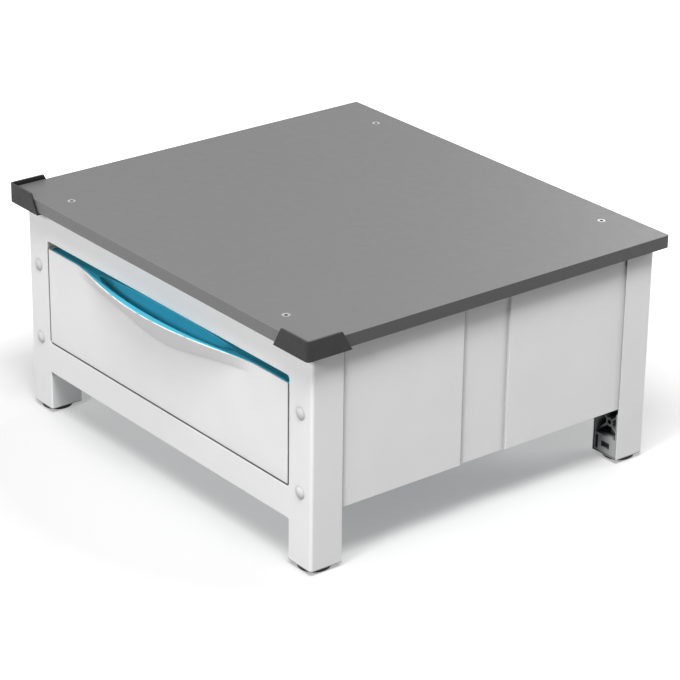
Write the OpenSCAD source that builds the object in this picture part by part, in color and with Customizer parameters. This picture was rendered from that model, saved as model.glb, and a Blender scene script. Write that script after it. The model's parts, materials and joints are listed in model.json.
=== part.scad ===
// Raised laundry base: a sheet-steel stand that lifts a washer or a dryer, with one drawer on
// roller runners. Millimetres, +Z up, the front faces -Y, the origin is on the floor at the centre.

/* [Top board] */
// Width of the board
board_w = 600; // [540:5:700]
// Depth of the board
board_d = 544; // [510:2:640]
// Thickness of the board
board_t = 16; // [12:1:25]
// Height of the board's top above the floor
total_h = 294; // [290:1:340]
// Radius of the board's upright corners
board_corner_r = 2; // [1:0.5:6]
// Distance of a board screw from the board's side
board_screw_side = 83; // [70:1:120]
// Distance of a front board screw from the board's front
board_screw_front = 33; // [28:1:36]
// Distance of a rear board screw from the board's rear
board_screw_rear = 33; // [26:1:36]
// Radius of a board screw's shank
board_screw_r = 2.5; // [2:0.25:3]

/* [Corner guards] */
// Thickness of the guard's wall outside the board
guard_wall = 2.5; // [1.5:0.25:4]
// Height of the guard's lip above the board
guard_lip = 6; // [3:0.5:15]
// Thickness of the guard's flange below the board
guard_flange_t = 2.5; // [1.5:0.25:4]
// Reach of the flange under the board
guard_flange_reach = 9; // [6:0.5:10]
// Length of each arm at its top edge
guard_arm_top = 46; // [35:1:60]
// Length of each arm at its bottom edge
guard_arm_bottom = 60; // [50:1:80]

/* [Frame] */
// Setback of the frame's front face from the board's front
front_inset = 14.5; // [13:0.5:20]
// Setback of the frame's sides from the board's sides
side_inset = 10.7; // [10.5:0.1:20]
// Setback of the frame's rear face from the board's rear
rear_inset = 12.6; // [8:0.2:20]
// Thickness of the frame's sheet steel
frame_t = 1; // [0.8:0.1:1.5]
// Outer radius of the frame's upright front and rear bends
bend_r = 4; // [3:0.5:6]
// Rounding of the edges round the drawer opening and the legs
edge_r = 1.5; // [1.25:0.25:3]
// Radius of the corners of the drawer opening
opening_corner_r = 4; // [3.5:0.5:10]
// Width of a leg's face
leg_w = 42.4; // [40:0.2:52]
// Depth of a leg's side
leg_d = 44; // [42:0.5:52]
// Height of the bottom rail's lower edge above the floor
rail_z0 = 57; // [50:1:62]
// Height of the drawer opening's lower edge above the floor
opening_z0 = 98; // [92:1:102]
// Height of the drawer opening
opening_h = 137.4; // [134:0.2:142]
// Depth of the flanges of the bottom rail and the drawer opening
rail_flange = 24; // [15:1:25]
// Depth of the flanges under the board
board_flange = 34; // [33:1:40]

/* [Side sheets] */
// Thickness of the side sheets
sheet_t = 1; // [0.8:0.1:1.2]
// Gap between the inserts and the side sheets' lower edge
sheet_lift = 7.9; // [2:0.1:15]
// Gap between a front leg's side and the front sheet behind it
sheet_inset = 0.9; // [0.2:0.1:1.5]
// Distance from the frame's front face to the front sheet's rear edge
front_sheet_end = 220.7; // [180:0.5:240]
// Distance from the frame's front face to the rear sheet's step
step_start = 289.5; // [260:0.5:320]
// Length of the rear sheet that lies behind the front sheet
sheet_lap = 45; // [30:1:60]
// Outward step of the rear sheet behind the lap
sheet_step = 2.2; // [1.2:0.1:3]
// Length of that step's slope
sheet_ramp = 2; // [1:0.1:5]
// Width of the folded hem on the front sheet's rear edge
hem_w = 12; // [8:1:20]
// Length of the rear sheet that lies behind the rear leg's side
rear_tuck = 5; // [2:0.5:10]

/* [Screw caps and frame screws] */
// Radius of a screw cap
cap_r = 8.3; // [7:0.1:10]
// Height of a screw cap's dome
cap_h = 3; // [2.6:0.1:4]
// Height of the upper caps above the floor
upper_cap_z = 197.6; // [170:1:220]
// Height of the lower caps above the floor
lower_cap_z = 99; // [90:1:120]
// Radius of a small screw's shank
screw_r = 2; // [1.5:0.25:2.25]
// Radius of a small screw's head
screw_head_r = 4; // [3.5:0.25:5]
// Height of a small screw's head
screw_head_h = 1.5; // [1.2:0.1:1.8]

/* [Feet] */
// Radius of a foot's pad
pad_r = 19.65; // [15:0.5:20]
// Height of a foot's pad
pad_h = 5.7; // [5.5:0.1:12]
// Distance of a foot's centre from the frame's side and end faces
foot_inset = 21; // [20.8:0.2:24]
// Radius of a foot's stud
stud_r = 5; // [4:0.5:6]
// Length of a foot's stud above the pad
stud_l = 42; // [30:1:56]
// Radius of the disc at the stud's lower end
stud_disc_r = 8; // [7:0.5:10]
// Thickness of that disc
stud_disc_h = 2.5; // [2:0.25:3]

/* [Leg inserts] */
// Height of an insert above its rim
insert_h = 60; // [56:1:70]
// Depth of an insert
insert_d = 42; // [41:0.5:42]
// Thickness of an insert's rim below the leg's sheet edges
insert_rim = 0.8; // [0.6:0.1:2]
// Thickness of an insert's side walls
insert_wall = 3; // [2:0.5:5]
// Height of an insert's bottom block
insert_block_h = 24.3; // [20:0.5:30]
// Thickness of an insert's crossed ribs
rib_t = 2.5; // [2:0.25:4]
// Width of the pocket in the bottom block
insert_pocket_w = 14.3; // [10:0.5:16]
// Height of the pocket in the bottom block
insert_pocket_h = 8; // [5:0.5:10]
// Depth of that pocket and of the slot beside it
insert_pocket_d = 6; // [4:0.5:8]
// Width of the slot beside the pocket
insert_slot_w = 4; // [3:0.5:6]

/* [Drawer front] */
// Gap between the drawer front and its opening
drawer_gap = 2; // [1.5:0.25:4]
// Drop of the drawer's rim below the opening's upper edge
rim_drop = 9.6; // [6:0.2:14]
// Thickness of the drawer front's sheet
front_t = 1.2; // [0.8:0.1:1.5]
// Forward reach of the grip lip at its middle
lip_reach = 25.9; // [20:0.1:30]
// Half of the grip lip's width
lip_half_w = 180; // [150:5:210]
// Height of the flare below the rim at the middle
lip_drop = 39; // [37:1:50]
// Half width at which the flare's height is halved
lip_spread = 129; // [100:1:160]
// Fullness of the lip's curve seen from above
lip_power = 1.26; // [1.1:0.02:1.6]

/* [Finger pocket] */
// Depth of the moulding behind the drawer front
mould_d = 26; // [26:0.5:28]
// Wall thickness of that moulding
mould_t = 2.5; // [2:0.25:3.5]
// Half of the finger pocket's width
pocket_half_w = 138; // [110:1:150]
// Setback of the pocket's pointed ends behind the frame's front face
pocket_setback = 6; // [4:0.5:8]
// Width of the rim between the lip's edge and the pocket at the middle
rim_strip = 11.5; // [10:0.5:14]
// Reach of the pocket's rear edge behind its ends
pocket_back = 8; // [6:0.5:12]
// Depth of the finger pocket
pocket_depth = 26; // [18:1:28]
// Rearward shift of the pocket's floor from its ends
pocket_lean = 7; // [6:0.5:8]

/* [Drawer tray] */
// Space between the tray and the rear frame's outer face
tray_rear_space = 52.9; // [50.9:1:80.9]
// Wall thickness of the tray
tray_wall = 3; // [2:0.5:4]
// Width of the rim that stands out from the tray's sides and rear
tray_rim_w = 5; // [3:0.5:8]
// Clearance of the tray's floor above the opening's lower edge
tray_lift = 6; // [3:0.5:10]
// Length of the tray that stays inside when the drawer is open
tray_hold = 98; // [80:2:238]

/* [Runners] */
// Space between the tray and the opening's side for a runner
runner_space = 15; // [15:0.25:17]
// Thickness of the runners' steel
runner_t = 1.2; // [1:0.1:1.3]
// Height of the moving runners' rollers above the floor
runner_z = 150; // [135:1:180]
// Radius of a roller
roller_r = 9; // [7:0.5:10]
// Width of a roller
roller_w = 6.6; // [5:0.1:6.8]
// Radius of a roller's axle
axle_r = 3; // [2.5:0.25:4]
// Radial clearance of a turning part on its pin
turn_clear = 0.05; // [0.02:0.01:0.1]
// Clearance between parts that move past each other
run_clear = 0.3; // [0.2:0.05:0.5]

/* [Hidden] */
$fn = 48;
LEFT = -1;
RIGHT = 1;
SIDES = [LEFT, RIGHT];
FRONT = false;
REAR = true;
overcut = 1; // how far a cutting shape runs past the face that it cuts
screw_play = 0.1; // radial play of a screw in its hole
fit_gap = 0.2; // play round a piece that is slid into place

// Places of the board and the frame
front_reach = max(lip_reach - front_inset, guard_wall);
board_front = -(board_d - front_reach) / 2;
board_rear = board_front + board_d;
board_z0 = total_h - board_t;
side_x = board_w / 2 - side_inset;
face_y = board_front + front_inset;
rear_y = board_rear - rear_inset;
opening_x = side_x - leg_w;
opening_z1 = opening_z0 + opening_h;
leg_z0 = pad_h + insert_rim;
sheet_z0 = leg_z0 + insert_h + sheet_lift;
guard_z0 = board_z0 - guard_flange_t;
guard_h = total_h + guard_lip - guard_z0;
guard_screw_l = board_t / 2;
guard_screw_share = 0.75; // place of a guard's screws along its arms
frame_screw_l = 8;
screw_x = board_w / 2 - board_screw_side;
board_screw_points = [
    for (s = SIDES) [s * screw_x, board_front + board_screw_front],
    for (s = SIDES) [s * screw_x, board_rear - board_screw_rear]
];
head_edge = 0.5; // how much taller a countersunk head is than its flare is wide
board_head_r = 2 * board_screw_r;
board_head_h = board_screw_r + head_edge;
board_screw_tail = 5;
cap_x = side_x - leg_w / 2;
dome_steps = 5; // rings of a screw cap's dome

// Places in the legs
disc_z0 = pad_h - stud_disc_h - run_clear;
pad_chamfer = 1;
rib_d = 12; // depth of an insert's crossed ribs
rib_setback = 4; // setback of the ribs from the insert's open end
rib_boss_r = 6;
boss_wall = 5; // wall of an insert's boss round the stud
insert_boss_r = stud_r + boss_wall;
insert_boss_drop = 14; // drop of the boss below the insert's top
insert_boss_h = insert_h - insert_boss_drop;

// Places of the drawer
front_w = 2 * (opening_x - drawer_gap);
front_z0 = opening_z0 + drawer_gap;
rim_z = opening_z1 - rim_drop;
tray_front = face_y + mould_d;
tray_rear = rear_y - tray_rear_space;
tray_d = tray_rear - tray_front;
travel = tray_d - tray_hold;
tray_z0 = opening_z0 + tray_lift;
tray_w = 2 * (opening_x - runner_space);
tray_screw_inset = 14.25; // from a tray side's inner face to the drawer front's screws
tray_screw_x = tray_w / 2 - tray_wall - tray_screw_inset;
low_screw_rise = 25; // rise of the lower drawer screws above the tray's floor
high_screw_drop = 55; // drop of the upper drawer screws below the rim
tray_screw_z = [tray_z0 + low_screw_rise, rim_z - high_screw_drop];
tab_drop = 10; // drop of the front's rear tabs below the rim
drawer_screw_tail = 4; // length of a drawer screw beyond the tab
pocket_front = lip_reach + pocket_setback - rim_strip;
pocket_fullness = 1.2; // bluntness of the pocket's pointed ends
crease = 0.12; // softness of the flare's crease, as a share of the flare's height
lip_rows = [-crease, -crease / 2, 0, crease / 2, crease, 0.5, 1];
front_columns = 48;
mould_columns = 96;
pocket_shares = [0.12, 0.35, 0.55, 0.72, 0.85, 0.94, 0.985, 1];

// Places of the runners, given on the right side
runner_gap = 2; // gap between the closed drawer front and the fixed runners
runner_front = tray_front + runner_gap;
runner_rear_gap = 6; // gap between a fixed runner and the rear frame's outer face
runner_rear = rear_y - runner_rear_gap;
web_in = opening_x - runner_t;
front_roller_inset = 30; // from a fixed runner's front end to its roller
front_roller_y = runner_front + front_roller_inset;
rear_roller_inset = 12; // from the tray's rear to its rollers
rear_roller_y = tray_rear - rear_roller_inset;
head_t = 1; // thickness of an axle's head
web_gap = 0.8; // gap between an axle's head and the runner that it passes
rear_head_x = web_in - web_gap;
rear_roller_x = rear_head_x - head_t - run_clear - roller_w;
front_head_x = tray_w / 2 + runner_t + screw_head_h + web_gap;
front_roller_x = front_head_x + head_t + run_clear;
flange_in = min(front_roller_x, rear_roller_x) - fit_gap;
flange_over = 1; // play of a rear roller below the fixed runner's upper flange
fixed_z0 = runner_z - roller_r - run_clear - runner_t;
fixed_z1 = runner_z + roller_r + flange_over + runner_t;
moving_z1 = fixed_z1 + overcut + runner_t;
front_roller_z = moving_z1 - runner_t - run_clear - roller_r;
moving_z0 = runner_z - roller_r - run_clear;
stop_y = rear_roller_y - travel - roller_r - run_clear - runner_t;
stop_h = 7; // height of the tab that stops the drawer's rear rollers
runner_screw_tail = 4; // length of a runner screw beyond the sheets
runner_screw_l = runner_t + frame_t + sheet_t + runner_screw_tail;
axle_step = 0.5; // how much thinner an axle is where it enters a runner
axle_tail_r = axle_r - axle_step;
axle_shoulder = 2; // how far an axle's head and spacer stand out round its pin
roller_bevel = 0.8;
front_screw_inset = 8; // from a fixed runner's front end to its first screw
rear_screw_inset = 16; // from a rear leg's front edge to a fixed runner's last screw
fixed_screw_y = [runner_front + front_screw_inset, rear_y - leg_d + rear_screw_inset];
moving_screw_inset = 60; // from the tray's ends to the moving runners' screws
moving_screw_y = [tray_front + moving_screw_inset, tray_rear - moving_screw_inset];

// Colours
BOARD_GREY = "#97999b";
GUARD_GREY = "#3f4143";
WHITE = "#e4e6e6";
TEAL = "#2494b8";
INSERT_GREY = "#8d8f91";
BLACK = "#262728";
STEEL = "#b4b7ba";
NYLON = "#dcdcd2";

// A flat outline with rounded corners
module rounded_plate(w, d, r) {
    translate([r, 0]) square([w - 2 * r, d]);
    translate([0, r]) square([w, d - 2 * r]);
    for (x = [r, w - r])
        for (y = [r, d - r])
            translate([x, y]) circle(r);
}

// Mirrors its children when asked to
module flip_x(on) {
    if (on) mirror([1, 0, 0]) children();
    else children();
}

module flip_y(on) {
    if (on) mirror([0, 1, 0]) children();
    else children();
}

// Puts children that are drawn for the right side on one side
module on_side(side) {
    flip_x(side == LEFT) children();
}

// Puts children at a leg's outer bottom corner: x runs inward, y runs into the stand, z runs up
module at_leg(side, rear) {
    translate([side * side_x, rear ? rear_y : face_y, leg_z0])
        flip_x(side == RIGHT) flip_y(rear) children();
}

// A cylinder along X from the origin
module rod_x(r, l) {
    rotate([0, 90, 0]) cylinder(r = r, h = l);
}

// A cylinder along Y from the origin
module rod_y(r, l) {
    rotate([-90, 0, 0]) cylinder(r = r, h = l);
}

// The waste outside a rounded edge
module edge_waste(r) {
    difference() {
        translate([-overcut, -overcut]) square(r + overcut);
        translate([r, r]) circle(r);
    }
}

// A bent sheet corner seen from above: a plate outline with one rounded corner at the origin
module bent_outline(w, d, r) {
    translate([r, 0]) square([w - r, d]);
    translate([0, r]) square([w, d - r]);
    translate([r, r]) circle(r);
}

// Extrudes an outline drawn in X and Z along +Y
module extrude_y(l) {
    translate([0, l, 0]) rotate([90, 0, 0]) linear_extrude(l) children();
}

// Extrudes an outline drawn in Y and Z along +X
module extrude_x(l) {
    rotate([90, 0, 90]) linear_extrude(l) children();
}

// A pan-head screw that points along +Z, with the underside of its head at the origin
module small_screw(l) {
    cylinder(r = screw_r, h = l);
    difference() {
        translate([0, 0, -screw_head_h]) cylinder(r = screw_head_r, h = screw_head_h);
        translate([0, 0, -screw_head_h - overcut])
            cylinder(r = screw_r, h = overcut + screw_head_h / 2, $fn = 6);
    }
}

// Board and its fasteners

module board_outline(grow) {
    translate([-board_w / 2 - grow, board_front - grow])
        rounded_plate(board_w + 2 * grow, board_d + 2 * grow, board_corner_r + grow);
}

// The countersunk shape of a board screw, larger by a play
module board_screw_shape(play) {
    head_z0 = total_h - board_head_h;
    tail_z0 = board_z0 - frame_t - board_screw_tail;
    translate([0, 0, tail_z0]) cylinder(r = board_screw_r + play, h = head_z0 - tail_z0);
    translate([0, 0, head_z0])
        cylinder(r1 = board_screw_r + play, r2 = board_head_r + play, h = board_head_h);
}

module top_board() {
    color(BOARD_GREY)
        difference() {
            translate([0, 0, board_z0]) linear_extrude(board_t) board_outline(0);
            for (p = board_screw_points)
                translate([p.x, p.y, 0]) board_screw_shape(screw_play);
            for (s = SIDES)
                on_side(s) guard_screw_places()
                    translate([0, 0, board_z0 - overcut])
                        cylinder(r = screw_r, h = guard_screw_l + overcut);
        }
}

module board_screws() {
    socket_r = board_screw_r;
    color(STEEL)
        for (p = board_screw_points)
            translate([p.x, p.y, 0])
                difference() {
                    board_screw_shape(0);
                    translate([0, 0, total_h - socket_r]) cylinder(r = socket_r, h = 2 * socket_r, $fn = 6);
                }
}

// Corner guards, drawn at the right front corner

// The two places on a guard's flange where a screw enters the board from below
module guard_screw_places() {
    across = guard_flange_reach / 2;
    along = guard_screw_share * guard_arm_top;
    translate([board_w / 2 - along, board_front + across, 0]) children();
    translate([board_w / 2 - across, board_front + along, 0]) children();
}

// The waste beyond an arm's slanted end, with the arm running to the right of the origin
module slant_waste() {
    slope = (guard_arm_bottom - guard_arm_top) / guard_h;
    polygon([
        [-3 * overcut, -overcut],
        [-slope * overcut, -overcut],
        [slope * (guard_h + overcut), guard_h + overcut],
        [-3 * overcut, guard_h + overcut]
    ]);
}

// The corner's area, longer than the arms so that their slanted ends are cut clean
module guard_area() {
    side = guard_arm_bottom + overcut;
    translate([board_w / 2 - side, board_front - guard_wall]) square(side + guard_wall);
}

module corner_guard() {
    arm_x = board_w / 2 - guard_arm_bottom;
    arm_y = board_front + guard_arm_bottom;
    cut_d = guard_wall + guard_flange_reach + 2 * overcut;
    color(GUARD_GREY)
        difference() {
            translate([0, 0, guard_z0]) {
                linear_extrude(guard_h)
                    intersection() {
                        difference() {
                            board_outline(guard_wall);
                            board_outline(0);
                        }
                        guard_area();
                    }
                linear_extrude(guard_flange_t)
                    difference() {
                        intersection() {
                            board_outline(guard_wall);
                            guard_area();
                        }
                        translate([arm_x - 2 * overcut, board_front + guard_flange_reach])
                            square([guard_arm_bottom - guard_flange_reach + 2 * overcut, guard_arm_bottom]);
                    }
            }
            translate([arm_x, board_front - guard_wall - overcut, guard_z0]) extrude_y(cut_d) slant_waste();
            translate([board_w / 2 - guard_flange_reach - overcut, arm_y, guard_z0])
                mirror([0, 1, 0]) extrude_x(cut_d) slant_waste();
            guard_screw_places()
                translate([0, 0, guard_z0 - overcut])
                    cylinder(r = screw_r + screw_play, h = guard_flange_t + 2 * overcut);
        }
}

module corner_guard_left() {
    on_side(LEFT) corner_guard();
}

module corner_guard_right() {
    on_side(RIGHT) corner_guard();
}

module guard_screws() {
    color(STEEL)
        for (s = SIDES)
            on_side(s) guard_screw_places()
                translate([0, 0, guard_z0]) small_screw(guard_flange_t + guard_screw_l);
}

// Frames

// A leg's channel from the floor end to the board, open towards the inside of the stand
module post() {
    linear_extrude(board_z0 - leg_z0)
        difference() {
            bent_outline(leg_w, leg_d, bend_r);
            translate([frame_t, frame_t])
                bent_outline(leg_w - 2 * frame_t, leg_d, bend_r - frame_t);
        }
}

// A channel between the posts behind the face at y = 0, with one flange along each edge
module rail(z0, z1, lower_d, upper_d) {
    half = opening_x + frame_t;
    translate([-half, 0, z0]) cube([2 * half, frame_t, z1 - z0]);
    translate([-half, 0, z0]) cube([2 * half, lower_d, frame_t]);
    translate([-half, 0, z1 - frame_t]) cube([2 * half, upper_d, frame_t]);
}

// Puts children at the four corners of the drawer opening, drawn for the upper right one
module at_opening_corners() {
    for (s = SIDES)
        flip_x(s == LEFT) {
            translate([opening_x, 0, opening_z1]) children();
            translate([opening_x, 0, opening_z0]) mirror([0, 0, 1]) children();
        }
}

// The solid web that rounds a corner of the opening
module opening_fillet() {
    r = opening_corner_r;
    extrude_y(rail_flange)
        difference() {
            translate([-r, -r]) square(r + frame_t / 2);
            translate([-r, -r]) circle(r);
        }
}

// The waste that rounds the front edge round a corner of the opening
module corner_edge_waste() {
    r = opening_corner_r;
    translate([-r, 0, -r])
        mirror([0, 1, 0]) rotate([90, 0, 0])
            rotate_extrude(angle = 90) translate([r, 0]) edge_waste(edge_r);
}

// The waste that rounds the front edges of the opening, the legs and the bottom rail
module frame_edge_wastes() {
    run_x = opening_x - opening_corner_r;
    run_z = opening_h - 2 * opening_corner_r;
    at_opening_corners() corner_edge_waste();
    translate([-run_x, 0, opening_z1]) extrude_x(2 * run_x) edge_waste(edge_r);
    translate([-run_x, 0, opening_z0]) mirror([0, 0, 1]) extrude_x(2 * run_x) edge_waste(edge_r);
    translate([-opening_x, 0, rail_z0]) extrude_x(2 * opening_x) edge_waste(edge_r);
    for (s = SIDES)
        flip_x(s == LEFT) translate([opening_x, 0, 0]) {
            translate([0, 0, opening_z0 + opening_corner_r]) linear_extrude(run_z) edge_waste(edge_r);
            translate([0, 0, leg_z0 - overcut])
                linear_extrude(rail_z0 - leg_z0 + overcut) edge_waste(edge_r);
        }
}

// The places of the capped screws on the face at y = 0
module at_frame_screws() {
    for (s = SIDES)
        for (z = [upper_cap_z, lower_cap_z])
            translate([s * cap_x, 0, z]) children();
}

// The holes for the fixed runners' screws
module runner_screw_holes() {
    for (s = SIDES)
        for (y = fixed_screw_y)
            on_side(s) translate([web_in - overcut, y, runner_z])
                rod_x(screw_r + screw_play, runner_t + frame_t + sheet_t + 2 * overcut);
}

module board_screw_holes() {
    for (p = board_screw_points)
        translate([p.x, p.y, board_z0 - 2 * frame_t])
            cylinder(r = board_screw_r + screw_play, h = 3 * frame_t);
}

module front_frame() {
    color(WHITE)
        difference() {
            union() {
                for (s = SIDES)
                    at_leg(s, FRONT) post();
                translate([0, face_y, 0]) {
                    rail(rail_z0, opening_z0, rail_flange, rail_flange);
                    rail(opening_z1, board_z0, rail_flange, board_flange);
                    at_opening_corners() opening_fillet();
                }
            }
            translate([0, face_y, 0]) {
                frame_edge_wastes();
                at_frame_screws()
                    translate([0, -overcut, 0]) rod_y(screw_r + screw_play, frame_t + 2 * overcut);
            }
            runner_screw_holes();
            board_screw_holes();
        }
}

module rear_frame() {
    color(WHITE)
        difference() {
            union() {
                for (s = SIDES)
                    at_leg(s, REAR) post();
                translate([0, rear_y, 0])
                    mirror([0, 1, 0]) rail(sheet_z0, board_z0, rail_flange, board_flange);
            }
            runner_screw_holes();
            board_screw_holes();
        }
}

module frame_screws() {
    color(STEEL)
        translate([0, face_y, 0]) at_frame_screws() rotate([-90, 0, 0]) small_screw(frame_screw_l);
}

// A domed cap over a screw's head
module screw_caps() {
    dome_r = (pow(cap_r, 2) + pow(cap_h, 2)) / (2 * cap_h);
    dome_angle = asin(cap_r / dome_r);
    hollow_r = screw_head_r + run_clear;
    hollow_h = screw_head_h + fit_gap;
    color(WHITE)
        translate([0, face_y, 0]) at_frame_screws()
            rotate([90, 0, 0])
                rotate_extrude($fn = 96)
                    polygon(concat(
                        [[0, hollow_h], [hollow_r, hollow_h], [hollow_r, 0]],
                        [
                            for (i = [dome_steps : -1 : 0])
                                let (a = dome_angle * i / dome_steps)
                                    [dome_r * sin(a), cap_h - dome_r * (1 - cos(a))]
                        ]
                    ));
}

// Side sheets, drawn on the right side

module side_sheet_front() {
    plate_w = leg_w - 2 * frame_t - sheet_inset - fit_gap;
    plate_d = front_sheet_end - frame_t;
    color(WHITE)
        difference() {
            translate([side_x - frame_t - sheet_inset, face_y + frame_t, sheet_z0])
                mirror([1, 0, 0]) linear_extrude(board_z0 - sheet_z0) {
                    difference() {
                        bent_outline(plate_w, plate_d, bend_r - frame_t);
                        translate([sheet_t, sheet_t])
                            bent_outline(plate_w, plate_d, bend_r - frame_t - sheet_t);
                    }
                    translate([sheet_t, plate_d - hem_w]) square([sheet_t, hem_w]);
                }
            translate([0, face_y, 0]) at_frame_screws() rod_y(screw_r + screw_play, frame_screw_l);
        }
}

module side_sheet_rear() {
    lap_x = side_x - frame_t - sheet_inset - 2 * sheet_t - fit_gap;
    wall_x = lap_x + sheet_step;
    lap_y = face_y + front_sheet_end - sheet_lap;
    step_y = face_y + step_start;
    ramp_y = step_y + sheet_ramp;
    end_y = rear_y - leg_d + rear_tuck;
    tab_x = opening_x + frame_t;
    tab_l = fixed_screw_y[1] + 2 * screw_head_r - end_y + sheet_t;
    color(WHITE)
        difference() {
            translate([0, 0, sheet_z0]) linear_extrude(board_z0 - sheet_z0) {
                polygon([
                    [lap_x, lap_y], [lap_x, step_y], [wall_x, ramp_y], [wall_x, end_y],
                    [wall_x - sheet_t, end_y], [wall_x - sheet_t, ramp_y],
                    [lap_x - sheet_t, step_y], [lap_x - sheet_t, lap_y]
                ]);
                translate([tab_x, end_y - sheet_t]) square([wall_x - tab_x, sheet_t]);
                translate([tab_x, end_y - sheet_t]) square([sheet_t, tab_l]);
            }
            runner_screw_holes();
        }
}

module side_sheet_front_left() {
    on_side(LEFT) side_sheet_front();
}

module side_sheet_front_right() {
    on_side(RIGHT) side_sheet_front();
}

module side_sheet_rear_left() {
    on_side(LEFT) side_sheet_rear();
}

module side_sheet_rear_right() {
    on_side(RIGHT) side_sheet_rear();
}

// Leg inserts and feet

// Keeps what lies inside a leg's channel, from the insert's bottom up
module inside_leg() {
    inset = frame_t + fit_gap;
    intersection() {
        translate([inset, inset, -insert_rim])
            linear_extrude(insert_rim + insert_h)
                bent_outline(leg_w - 2 * inset, insert_d, bend_r - frame_t);
        children();
    }
}

// Two crossed ribs round a boss, between the insert's block and its top
module crossed_ribs() {
    rise = insert_h - insert_block_h;
    lean = atan2(rise, leg_w);
    length = 2 * (leg_w + rise);
    translate([leg_w / 2, insert_d - rib_setback - rib_d, insert_block_h + rise / 2]) {
        for (a = [lean, -lean])
            rotate([0, a, 0]) translate([-length / 2, 0, -rib_t / 2]) cube([length, rib_d, rib_t]);
        rod_y(rib_boss_r, rib_d);
    }
}

// An insert in a leg's channel, with a rim below the channel's sheet edges
module leg_insert() {
    open_y = frame_t + fit_gap + insert_d;
    inner_x = leg_w - frame_t - fit_gap;
    rib_y = insert_d - rib_setback - rib_d;
    middle_z = (insert_h + insert_block_h) / 2;
    pocket_x = (leg_w - insert_pocket_w) / 2;
    pocket_z = (insert_block_h - insert_pocket_h) / 2;
    color(INSERT_GREY)
        difference() {
            union() {
                translate([0, 0, -insert_rim])
                    linear_extrude(insert_rim) bent_outline(leg_w, leg_d, bend_r);
                inside_leg() {
                    union() {
                        translate([0, 0, -insert_rim]) cube([leg_w, leg_d, insert_rim + insert_block_h]);
                        cube([frame_t + fit_gap + insert_wall, leg_d, insert_h]);
                        translate([inner_x - insert_wall, 0, 0]) cube([leg_w, leg_d, insert_h]);
                        cube([leg_w, frame_t + fit_gap + insert_wall, insert_h]);
                        crossed_ribs();
                        translate([foot_inset, foot_inset, 0]) cylinder(r = insert_boss_r, h = insert_boss_h);
                    }
                }
            }
            translate([foot_inset, foot_inset, -insert_rim - overcut])
                cylinder(r = stud_r + turn_clear, h = insert_rim + insert_boss_h + 2 * overcut);
            translate([leg_w / 2, rib_y - overcut, middle_z])
                rod_y(rib_boss_r / 2, rib_d + 2 * overcut);
            translate([pocket_x, open_y - insert_pocket_d, pocket_z])
                cube([insert_pocket_w, insert_pocket_d + overcut, insert_pocket_h]);
            translate([inner_x - insert_wall - insert_slot_w, open_y - insert_pocket_d, insert_wall])
                cube([insert_slot_w, insert_pocket_d + overcut, insert_block_h - 2 * insert_wall]);
        }
}

module insert_front_left() {
    at_leg(LEFT, FRONT) leg_insert();
}

module insert_front_right() {
    at_leg(RIGHT, FRONT) leg_insert();
}

module insert_rear_left() {
    at_leg(LEFT, REAR) leg_insert();
}

module insert_rear_right() {
    at_leg(RIGHT, REAR) leg_insert();
}

// Puts children at a foot's centre on the floor
module at_foot(side, rear) {
    at_leg(side, rear) translate([foot_inset, foot_inset, -leg_z0]) children();
}

// A round pad with a recess for the stud's disc
module foot_pad() {
    color(BLACK)
        difference() {
            union() {
                cylinder(r = pad_r, h = pad_h - pad_chamfer);
                translate([0, 0, pad_h - pad_chamfer])
                    cylinder(r1 = pad_r, r2 = pad_r - pad_chamfer, h = pad_chamfer);
            }
            translate([0, 0, disc_z0])
                cylinder(r = stud_disc_r + run_clear, h = pad_h - disc_z0 + overcut);
        }
}

// A threaded stud with a disc at its foot and a hexagon socket in its upper end
module foot_stud() {
    socket_r = stud_r / 2;
    socket_d = stud_r;
    stud_z1 = pad_h + stud_l;
    color(STEEL)
        difference() {
            translate([0, 0, disc_z0]) {
                cylinder(r = stud_disc_r, h = stud_disc_h);
                cylinder(r = stud_r, h = stud_z1 - disc_z0);
            }
            translate([0, 0, stud_z1 - socket_d]) cylinder(r = socket_r, h = socket_d + overcut, $fn = 6);
        }
}

module foot_pad_front_left() {
    at_foot(LEFT, FRONT) foot_pad();
}

module foot_pad_front_right() {
    at_foot(RIGHT, FRONT) foot_pad();
}

module foot_pad_rear_left() {
    at_foot(LEFT, REAR) foot_pad();
}

module foot_pad_rear_right() {
    at_foot(RIGHT, REAR) foot_pad();
}

module foot_stud_front_left() {
    at_foot(LEFT, FRONT) foot_stud();
}

module foot_stud_front_right() {
    at_foot(RIGHT, FRONT) foot_stud();
}

module foot_stud_rear_left() {
    at_foot(LEFT, REAR) foot_stud();
}

module foot_stud_rear_right() {
    at_foot(RIGHT, REAR) foot_stud();
}

// Runners and rollers, drawn on the right side

// A roller's axle along +X from the runner's web: a tail through the web, a spacer, a pin and a head
module axle(spacer_l) {
    pin_l = roller_w + 2 * run_clear;
    translate([-runner_t, 0, 0]) rod_x(axle_tail_r, runner_t);
    rod_x(axle_r + axle_shoulder, spacer_l);
    translate([spacer_l, 0, 0]) rod_x(axle_r, pin_l);
    translate([spacer_l + pin_l, 0, 0]) rod_x(axle_r + axle_shoulder, head_t);
}

// The hole in a web for an axle's tail
module axle_hole() {
    translate([-overcut, 0, 0]) rod_x(axle_tail_r + turn_clear, runner_t + 2 * overcut);
}

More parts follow.
